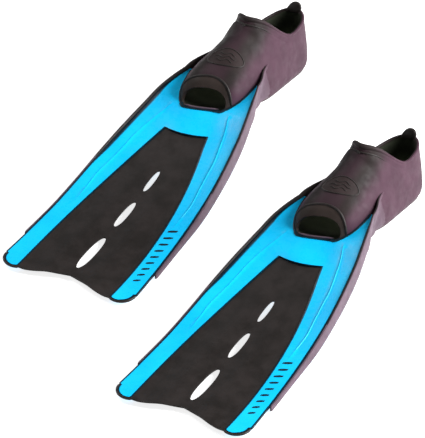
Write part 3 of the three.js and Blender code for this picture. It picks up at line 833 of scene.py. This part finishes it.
def rail(fin, sign):
    """The rail along an arm's outer edge, which widens into a wing on the pocket's flank: painted light, a
    lit mauve on its outer faces and the dark rubber as shade on its inner faces.
    """
    rows = [RAIL_START_Y + d for d in (0, 0.4, 1.2, 3)] + list(np.arange(72, 340, 6))
    rows += list(np.arange(342, 404, 4)) + list(np.arange(405, WING_END_Y, 2.5)) + [WING_END_Y]
    sections = []
    for y in rows:
        section = np.array(rail_section(y, sign))
        close = math.sqrt(clamp((y - RAIL_START_Y + 0.15) / 3))
        centre = section.mean(0)
        section = centre + (section - centre) * min(1.0, 0.55 + 0.45 * close)
        section[:, 1] = y
        sections.append(section)
    shape = loft(sections)
    # painted light: the wing turns to the pocket's painted lit colour toward its end
    painted_light = [rise(y, *WING_PALE_RISE) for _, y, _ in shape[0]]
    obj = piece(fin, f"{fin.flank(sign)}_side_rail", shape, LIT_FLANK, {"painted_light": painted_light}, sharp=55)
    obj.data.materials.append(TRIM_AND_SHADE)
    # painted shade: faces that turn inward or up take the dark rubber, the others keep the painted lit mauve
    for face in obj.data.polygons:
        near_tip = face.center.y - fin.origin[1] < RAIL_DARK_Y * MM
        if face.normal.x * sign < 0.25 and face.normal.z > -0.3 and not (near_tip and face.normal.z > 0.6):
            face.material_index = 1
    return obj


# ---- foot pocket


def pocket_section(y, count):
    """Points on the pocket's outside, from the middle of its floor up to an opening's edge or the crown."""
    widest, base, crown, half = pocket_widest(y), pocket_base(y), pocket_crown(y), pocket_half(y)
    limit = math.inf
    if y > RIM_FRONT_Y:
        limit = rim_height(y)
    elif y < TOE_EDGE[-1][0]:
        limit = toe_edge(y)
    turns = np.linspace(-math.pi / 2, math.pi / 2, 400)
    power = np.where(turns < 0, 2 / BASE_POWER, 2 / dome_power(y))
    x = half * np.abs(np.cos(turns)) ** power
    reach = np.where(turns < 0, widest - base, crown - widest)
    z = widest + np.sign(turns) * reach * np.abs(np.sin(turns)) ** power
    x[0] = x[-1] = 0
    keep = z <= limit
    if not keep.all():
        last = int(np.argmin(keep))
        t = (limit - z[last - 1]) / (z[last] - z[last - 1])
        x = np.append(x[:last], mix(x[last - 1], x[last], t))
        z = np.append(z[:last], limit)
    length = np.concatenate([[0], np.cumsum(np.hypot(np.diff(x), np.diff(z)))])
    even = np.linspace(0, 1, count)
    packed = even + 0.08 * np.sin(2 * math.pi * even)
    at = packed * length[-1]
    return np.stack([np.interp(at, length, x), np.full(count, y), np.interp(at, length, z)], 1)


def pocket_rows():
    toe = list(np.arange(POCKET_START_Y, 368, 0.75)) + list(np.arange(368, 375.6, 0.2))
    toe += list(np.arange(376, 382, 0.8))
    foot = list(np.arange(383, 470, 3))
    front = list(np.arange(471, 482, 1.2)) + [RIM_FRONT_Y + 14 * t**2 for t in np.linspace(0, 1, 16)]
    ankle = list(np.arange(498, 570, 3))
    heel = [570 + (HEEL_END_Y - 570) * math.sin(a) for a in np.linspace(0, math.pi / 2, 22)]
    return toe + foot + front + ankle + heel


def rim_path(count):
    """Places round the ankle opening, along the middle of the wall's edge."""
    path = []
    for turn in np.linspace(0, 2 * math.pi, count, endpoint=False):
        y = mix(RIM_FRONT_Y, RIM_BACK_Y, (1 - math.cos(turn)) / 2)
        half = max(0.0, outside_half(y, rim_height(y)) - WALL / 2)
        middle_point = abs(math.sin(turn)) < 1e-6
        if half > 0.05 or middle_point:
            path.append((0 if middle_point else math.copysign(half, math.sin(turn)), y, rim_height(y)))
    return path


RIM_GROOVE_AT, RIM_GROOVE_WIDTH, RIM_GROOVE_DEPTH = 8.5, 2.2, 2.2
RIM_GROOVE_START_Y, RIM_GROOVE_END_Y, RIM_GROOVE_FADE = 460, 545, 20
POCKET_MIDDLE_Y, POCKET_MIDDLE_Z = 480, 60


def pocket_painted_light(y, z):
    """Painted light: dark over the instep as painted shade, a little less so along its crown, and paler down
    the flanks as their painted lit side.
    """
    level = (z - pocket_widest(y)) / (pocket_crown(y) - pocket_widest(y))
    return fall(level, 0.86, 0.27) + 0.35 * rise(level, 0.9, 0.1)


LINING_DEPTH_RISE, LINING_TOE_RISE = (22, 34), (372, 30)


def lining_depth(y, z):
    """How far a place lies from the pocket's openings: 0 near their rims, and 1 deep inside."""
    below_rim = rise(rim_height(y) - z, *LINING_DEPTH_RISE) if y > RIM_FRONT_Y else 1
    return below_rim * rise(y, *LINING_TOE_RISE)


def pocket(fin):
    """The rubber foot pocket: a shell that is open over the blade at the toes and at the ankle."""
    columns = 52
    rows = []
    for y in pocket_rows():
        right = pocket_section(y, columns)
        left = right[::-1] * [-1, 1, 1]
        rows.append(np.vstack([left, right[1:]]))
    wide = 2 * columns - 1
    points = groove(np.vstack(rows))
    # painted light: how much of the painted lit colour each place on the pocket's outside takes
    painted_light = [pocket_painted_light(y, z) for _, y, z in points]
    depth = [lining_depth(y, z) for _, y, z in points]
    shape = (points, grid(len(rows), wide))
    attributes = {"painted_light": painted_light, "depth": depth}
    inside = (0, POCKET_MIDDLE_Y, POCKET_MIDDLE_Z)
    obj = piece(fin, "pocket", shape, MAUVE, attributes, inside=inside)
    solidify = obj.modifiers.new("wall", "SOLIDIFY")
    solidify.thickness, solidify.offset = WALL * MM, -1
    solidify.use_rim = True
    obj.data.materials.append(LINING)
    obj.data.materials.append(TOE)
    solidify.material_offset = 1
    for face in obj.data.polygons:
        face.material_index = 2 if ahead_of_welt(fin, face.center) else 0
    return rounded(obj, 1.3, 3, 60, 50)


def groove(points):
    """Presses the line under the ankle opening's collar into the pocket's front."""
    rim = np.array(rim_path(240))
    chosen = np.flatnonzero((points[:, 1] > RIM_GROOVE_START_Y) & (points[:, 1] < RIM_GROOVE_END_Y))
    near = points[chosen]
    moved = points.copy()
    distance = np.sqrt(((near[:, None, :] - rim[None]) ** 2).sum(2)).min(1)
    depth = RIM_GROOVE_DEPTH * np.exp(-(((distance - RIM_GROOVE_AT) / RIM_GROOVE_WIDTH) ** 2))
    depth *= np.clip((RIM_GROOVE_END_Y - near[:, 1]) / RIM_GROOVE_FADE, 0, 1)
    axis = np.stack([np.zeros(len(near)), near[:, 1], np.full(len(near), float(POCKET_MIDDLE_Z))], 1)
    inward = axis - near
    inward /= np.linalg.norm(inward, axis=1)[:, None]
    moved[chosen] = near + inward * depth[:, None]
    return moved


WELT_REACH = 12.5  # the welt lies no further behind the bead


def welt_place(across):
    """Where along the foot the welt lies, from one flank, -1, over the crown, 0, to the other, 1."""
    return BEAD_Y - BEAD_LEAN * max(0, across) - BEAD_BOW * across**2


def ahead_of_welt(fin, place):
    """Whether a place on the pocket lies between the toe opening and the welt."""
    x, y, z = (np.array(place) - fin.origin) / MM
    if y > BEAD_Y + WELT_REACH or z < pocket_widest(y):
        return False
    level = y - toe_skew(x)
    across = clamp(abs(x) / pocket_half(level)) ** (dome_power(level) / 2)
    turn = math.copysign(across, x)
    return level < welt_place(turn)


def toe_welt(fin):
    """The raised line over the toe opening."""
    path, count = [], 60
    for turn in np.linspace(math.radians(6), math.radians(174), count):
        y = welt_place(math.cos(turn))
        power, widest = 2 / dome_power(y), pocket_widest(y)
        x = math.copysign(pocket_half(y) * abs(math.cos(turn)) ** power, math.cos(turn))
        path.append((x, y, widest + (pocket_crown(y) - widest) * math.sin(turn) ** power))
    shape = sweep(path, tapered(count, 0.3, BEAD_RADIUS, 5), 12)
    return piece(fin, "toe_welt", shape, TRIM_AND_SHADE, sharp=60)


RIM_SIDES = 14
RIM_SWELL, RIM_SWELL_FALL = 1.3, (512, 30)
RIM_CENTRE_Y, RIM_PALE_RISE = 540, (484, 34)


def ankle_rim(fin):
    """The roll round the ankle opening, thicker over the instep: painted light, pale where it faces outward
    behind the instep, and dark where it faces inward.
    """
    path = rim_path(160)
    radii = [RIM_RADIUS + RIM_SWELL * fall(y, *RIM_SWELL_FALL) for _, y, _ in path]
    shape = sweep(path, radii, RIM_SIDES, closed=True)
    # painted light: pale on the roll's outward side, painted shade on its inward side
    painted_light = []
    for i, place in enumerate(shape[0]):
        centre = np.array(path[i // RIM_SIDES])
        outward = np.array([centre[0], 0.4 * (centre[1] - RIM_CENTRE_Y), 0])
        facing = (place - centre) @ outward / (np.linalg.norm(outward) * radii[i // RIM_SIDES])
        painted_light.append(rise(facing, -0.3, 0.9) * rise(place[1], *RIM_PALE_RISE))
    return piece(fin, "collar_roll", shape, MAUVE, {"painted_light": painted_light}, sharp=60)


COLLAR_LINE_TURN = 0.95  # how far it goes round the ankle opening to each side, in radians
COLLAR_LINE_AHEAD, COLLAR_LINE_DOWN, COLLAR_LINE_SUNK = 6.8, 4.5, 1.3


def collar_shade_line(fin):
    """A dark cord of painted shade in the groove under the collar, over the instep and down its sides."""
    path, count = [], 80
    for turn in np.linspace(-COLLAR_LINE_TURN, COLLAR_LINE_TURN, count):
        rim_y = mix(RIM_FRONT_Y, RIM_BACK_Y, (1 - math.cos(turn)) / 2)
        y = rim_y - COLLAR_LINE_AHEAD
        z = min(rim_height(rim_y) - COLLAR_LINE_DOWN, pocket_crown(y) - 0.02)
        path.append((math.copysign(outside_half(y, z) - COLLAR_LINE_SUNK, turn), y, z - 0.6))
    shape = sweep(path, tapered(count, 0.2, 1.1, 12), 8)
    return piece(fin, "collar_shade_line", shape, TRIM_AND_SHADE, sharp=60)


SOLE_START_Y, SOLE_END_Y = 361, 604


def outsole(fin):
    """The thin sole, wrapped a little way up round the pocket's underside, and flat under the heel."""
    samples, columns = [], 21
    rows = [363, 364, 366, *range(370, 580, 6), *range(580, 600, 2), 600, 601, 602]
    for y in rows:
        widest, base, half = pocket_widest(y), pocket_base(y), pocket_half(y)
        ends = clamp((y - SOLE_START_Y) / 6) * clamp((SOLE_END_Y - y) / 8)
        reach = 0.8 * half * math.sqrt(ends)
        for x in np.linspace(-reach, reach, columns):
            top = widest - (widest - base) * (1 - (abs(x) / half) ** BASE_POWER) ** (1 / BASE_POWER)
            samples.append((x, y, top - GAP, max(0.1, top - SOLE_THICKNESS)))
    points, faces, _ = sheet(samples, grid(len(rows), columns))
    return rounded(piece(fin, "sole", (points, faces), SOLE), 0.8)


TOE_LIP_HALF, TOE_LIP_UP, TOE_LIP_CURL = 24, 2.4, 2


def toe_lip(fin):
    """The thin lip under the toe opening, which turns up at its ends, in the lit mauve as a painted
    highlight.
    """
    y, z, count = POCKET_START_Y - 0.4, TOE_EDGE[0][1] + TOE_LIP_UP, 30
    places = np.linspace(-TOE_LIP_HALF, TOE_LIP_HALF, count)
    path = [(x, y, z + TOE_LIP_CURL * (abs(x) / TOE_LIP_HALF) ** 3) for x in places]
    shape = sweep(path, tapered(count, 0.4, 1.4, 4), 10)
    return piece(fin, "toe_lip", shape, LIT_FLANK, sharp=60)


TAB_Y, TAB_Z, TAB_THICKNESS, TAB_HALF_WIDTH, TAB_HEIGHT = 600.2, 85.5, 4.2, 11.6, 13
TAB_FOOT, TAB_ROUNDING = 0.25, 0.16
TAB_LEAN, TAB_LEAN_RISE, TAB_BACK, TAB_BACK_Z = 3.2, (80, 18), 0.22, 84


def pull_tab(fin):
    """The rounded tab on the heel, which leans back and to one side."""
    count, rows = 26, 7
    sections = []
    for j in range(rows):
        t = j / (rows - 1)
        depth = TAB_Y + TAB_THICKNESS * t
        swell = 1 - TAB_ROUNDING * (2 * t - 1) ** 4
        outline = []
        for a in np.linspace(-0.12 * math.pi, 1.12 * math.pi, count):
            x = TAB_HALF_WIDTH * swell * math.cos(a)
            z = TAB_Z + TAB_HEIGHT * swell * max(-TAB_FOOT, math.sin(a))
            lean, back = TAB_LEAN * rise(z, *TAB_LEAN_RISE), TAB_BACK * max(0, z - TAB_BACK_Z)
            outline.append((x + lean, depth + back, z))
        sections.append(np.array(outline))
    obj = piece(fin, "pull_tab", loft(sections), TRIM_AND_SHADE, sharp=50)
    return rounded(obj, 0.8, sharp=50)


BADGE_X, BADGE_Y, BADGE_HALF_WIDTH, BADGE_HALF_LENGTH = 3.5, 421, 24.5, 14.5
WAVE_REACHES, WAVE_STEP, WAVE_HEIGHT, WAVE_LENGTH = (12, 16, 12), 5.6, 1.6, 2.4


def on_dome(x, y, lift):
    return (x, y, dome_height(x, y) + lift)


BASE_LINE_START_Y, BASE_LINE_CORNER_Y, BASE_LINE_RADIUS = 419, 364, 2.5


def base_shade_line(fin):
    """A flat dark cord of painted shade in the groove where the pocket's rubber meets the blade."""
    rows = np.linspace(BASE_LINE_START_Y, BASE_LINE_CORNER_Y, 25)
    side = [(outside_half(y, middle(y)) + 0.2, y) for y in rows]
    corner, front = side[-1][0], POCKET_START_Y - 1.2
    for turn in np.linspace(0.3, 1.4, 4):
        y = front + (BASE_LINE_CORNER_Y - front) * (1 - math.sin(turn))
        side.append((corner * (1 - 0.16 * math.sin(turn) ** 2), y))
    path = [(-x, y) for x, y in side]
    path += [(x, front) for x in np.linspace(-0.8 * corner, 0.8 * corner, 14)]
    path += side[::-1]
    cord = [(x, y, middle(y) + frame_thickness(y) / 2 + arm_lift(x, y)) for x, y in path]
    shape = sweep(cord, BASE_LINE_RADIUS, 10, flat=0.4)
    return piece(fin, "base_shade_line", shape, PRINT_INK_AND_SHADE, sharp=60)


def badge(fin):
    """A plain oval pad on the instep with a raised border and three waves."""
    samples, rings, spokes = [], 9, 48
    turn = np.linspace(0, 2 * math.pi, spokes, endpoint=False)
    for r in np.linspace(0, 1, rings):
        for a in turn:
            x = BADGE_X + BADGE_HALF_WIDTH * r * math.cos(a)
            y = BADGE_Y + BADGE_HALF_LENGTH * r * math.sin(a)
            height = dome_height(x, y)
            samples.append((x, y, height + 0.45, height - 1.2))
    points, faces, _ = sheet(samples, grid(rings, spokes, wrap=True))
    pad = piece(fin, "badge_pad", (points, faces), DARK)
    edge = [on_dome(x, y, 0.4) for x, y, *_ in samples[-spokes:]]
    ring = piece(fin, "badge_border", sweep(edge, 0.95, 8, closed=True), TRIM_AND_SHADE, sharp=60)
    waves = []
    for k, reach in enumerate(WAVE_REACHES):
        y, count = BADGE_Y + WAVE_STEP * (k - 1), 40
        places = np.linspace(-reach, reach, count)
        path = [on_dome(BADGE_X + x, y + WAVE_HEIGHT * math.sin(x / WAVE_LENGTH), 0.55) for x in places]
        shape = sweep(path, tapered(count, 0.2, 0.8, 4), 8)
        waves.append(piece(fin, f"badge_wave_{k + 1}", shape, TRIM_AND_SHADE, sharp=60))
    return [pad, ring, *waves]


MARK_COUNT, MARK_START_Y, MARK_STEP = 9, 42, 14
MARK_FIRST_X, MARK_LAST_X = 88.5, 80
MARK_FIRST_REACH, MARK_LAST_REACH, MARK_HALF_WIDTH, MARK_SLANT = 4.4, 6.4, 2.3, 2.6


def blade_marks(fin):
    """A row of slanted dashes on the frame's arm."""
    made = []
    for k in range(MARK_COUNT):
        share = k / (MARK_COUNT - 1)
        y = MARK_START_Y + MARK_STEP * k
        x = mix(MARK_FIRST_X, MARK_LAST_X, share)
        reach = mix(MARK_FIRST_REACH, MARK_LAST_REACH, share)
        samples = []
        for v in (-1, 1):
            for u in np.linspace(-1, 1, 7):
                thick = MARK_HALF_WIDTH * (1 - 0.4 * u * u)
                px, py = x + reach * u, y + MARK_SLANT * u + thick * v
                top = middle(py) + frame_thickness(py) / 2 + arm_lift(px, py)
                samples.append((px, py, top + 0.3, top - 0.6))
        points, faces, _ = sheet(samples, grid(2, 7))
        made.append(rounded(piece(fin, f"mark_{k + 1}", (points, faces), PRINT_INK_AND_SHADE), 0.15, 1))
    return made


# ---- assembly

BEND_START_Y, BEND_END_Y = 354, 205


def build(fin):
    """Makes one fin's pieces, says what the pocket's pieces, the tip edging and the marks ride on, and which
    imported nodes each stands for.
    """
    side = fin.side
    foot, blade = f"{side}_foot", f"{side}_blade"
    start, end = (fin.place([(0, y, middle(y))])[0] for y in (BEND_START_Y, BEND_END_Y))

    def bends(obj, *nodes):
        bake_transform(obj)
        if nodes:
            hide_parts(*[f"{side}_{n}" for n in nodes])

    def rides(obj, body, *nodes):
        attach(obj, body)
        if nodes:
            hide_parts(*[f"{side}_{n}" for n in nodes])

    bends(blade_shell(fin), "blade_frame", "foot_plate")
    bends(panel(fin), "blade_panel")
    for sign in (-1, 1):
        flank = fin.flank(sign)
        bends(rail(fin, sign), f"{flank}_rail", f"{flank}_rail_root")
        rides(tip_edging(fin, sign), blade, f"{flank}_tip_edge")
    rides(pocket(fin), foot, "foot_pocket")
    rides(ankle_rim(fin), foot, "ankle_rim")
    rides(collar_shade_line(fin), foot)
    rides(toe_welt(fin), foot, "toe_bead")
    rides(base_shade_line(fin), foot)
    rides(toe_lip(fin), foot)
    rides(outsole(fin), foot, "outsole")
    rides(pull_tab(fin), foot, "heel_tab")
    pad, *relief = badge(fin)
    rides(pad, foot, "instep_badge")
    for obj in relief:
        rides(obj, foot)
    for obj in blade_marks(fin):
        rides(obj, blade)


build(Fin("right", -1))
build(Fin("left", 1))

# ---- floor, light, camera

FLOOR_HALF, FLOOR_GLOW = 20.0, 0.8
WALL_LIGHT, CEILING_LIGHT = 0.3, 0.16


def floor():
    """A white floor that glows a little, as a sheet of lit acrylic does."""
    n = Nodes("floor")
    shade = n.blend(n.noise(3, 2), (0.62, 0.62, 0.62), (0.65, 0.65, 0.65))
    n.join(shade, n.shader.inputs["Base Color"])
    n.shader.inputs["Roughness"].default_value = 0.9
    n.shader.inputs["Specular IOR Level"].default_value = 0.1
    n.shader.inputs["Emission Color"].default_value = (1, 1, 1, 1)
    n.shader.inputs["Emission Strength"].default_value = FLOOR_GLOW
    mesh = bpy.data.meshes.new("floor")
    h = FLOOR_HALF
    mesh.from_pydata([(-h, -h, 0), (h, -h, 0), (h, h, 0), (-h, h, 0)], [], [(0, 1, 2, 3)])
    mesh.materials.append(n.material)
    obj = bpy.data.objects.new("floor", mesh)
    bpy.context.scene.collection.objects.link(obj)
    obj.location.z = min(0.0, CAD_BOX[0].z) - 0.0005


def soft_light(name, place, size, power):
    """A round soft lamp that faces the middle of the floor."""
    light = bpy.data.lights.new(name, "AREA")
    light.shape, light.size, light.energy = "DISK", size, power
    obj = bpy.data.objects.new(name, light)
    obj.location = place
    obj.rotation_mode = "QUATERNION"
    obj.rotation_quaternion = (-Vector(place)).to_track_quat("-Z", "Y")
    bpy.context.scene.collection.objects.link(obj)


def studio():
    """Pale walls round the floor under a darker ceiling."""
    world = bpy.data.worlds.new("studio")
    world.use_nodes = True
    nodes, links = world.node_tree.nodes, world.node_tree.links
    place = nodes.new("ShaderNodeTexCoord")
    split = nodes.new("ShaderNodeSeparateXYZ")
    dim = nodes.new("ShaderNodeMapRange")
    levels = (("From Min", 0.05), ("From Max", 0.6), ("To Min", WALL_LIGHT), ("To Max", CEILING_LIGHT))
    for key, value in levels:
        dim.inputs[key].default_value = value
    links.new(place.outputs["Generated"], split.inputs["Vector"])
    links.new(split.outputs["Z"], dim.inputs["Value"])
    links.new(dim.outputs["Result"], nodes["Background"].inputs["Strength"])
    nodes["Background"].inputs["Color"].default_value = (1, 1, 1, 1)
    bpy.context.scene.world = world


floor()
studio()
soft_light("side_light", (2.4, 1.2, 1.6), 2.0, 215)
soft_light("left_light", (-2.0, 0.2, 2.0), 1.4, 30)
bpy.context.scene.view_settings.view_transform = "Standard"

CAMERA_AZIMUTH, CAMERA_ELEVATION, CAMERA_ROLL = (math.radians(a) for a in (33.326, 35.468, -2.415))
CAMERA_DISTANCE = 20.0
CAMERA_LENS = 1237.6
CAMERA_TARGET = Vector((-0.019, 0.01525, 0.05))
TARGET_SHIFT = (-0.0215, -0.0305)


def camera():
    """The camera, far off with a long lens."""
    a, e = CAMERA_AZIMUTH, CAMERA_ELEVATION
    right = Vector((math.cos(a), math.sin(a), 0))
    back = Vector((math.sin(a) * math.cos(e), -math.cos(a) * math.cos(e), math.sin(e)))
    up = back.cross(right)
    c, s = math.cos(CAMERA_ROLL), math.sin(CAMERA_ROLL)
    right, up = c * right + s * up, c * up - s * right
    data = bpy.data.cameras.new("camera")
    data.lens, data.sensor_width, data.sensor_fit = CAMERA_LENS, 36, "HORIZONTAL"
    data.clip_start, data.clip_end = 1, 100
    obj = bpy.data.objects.new("camera", data)
    obj.matrix_world = Matrix((right, up, back)).transposed().to_4x4()
    obj.location = CAMERA_TARGET + right * TARGET_SHIFT[0] + up * TARGET_SHIFT[1] + back * CAMERA_DISTANCE
    bpy.context.scene.collection.objects.link(obj)
    bpy.context.scene.camera = obj


camera()
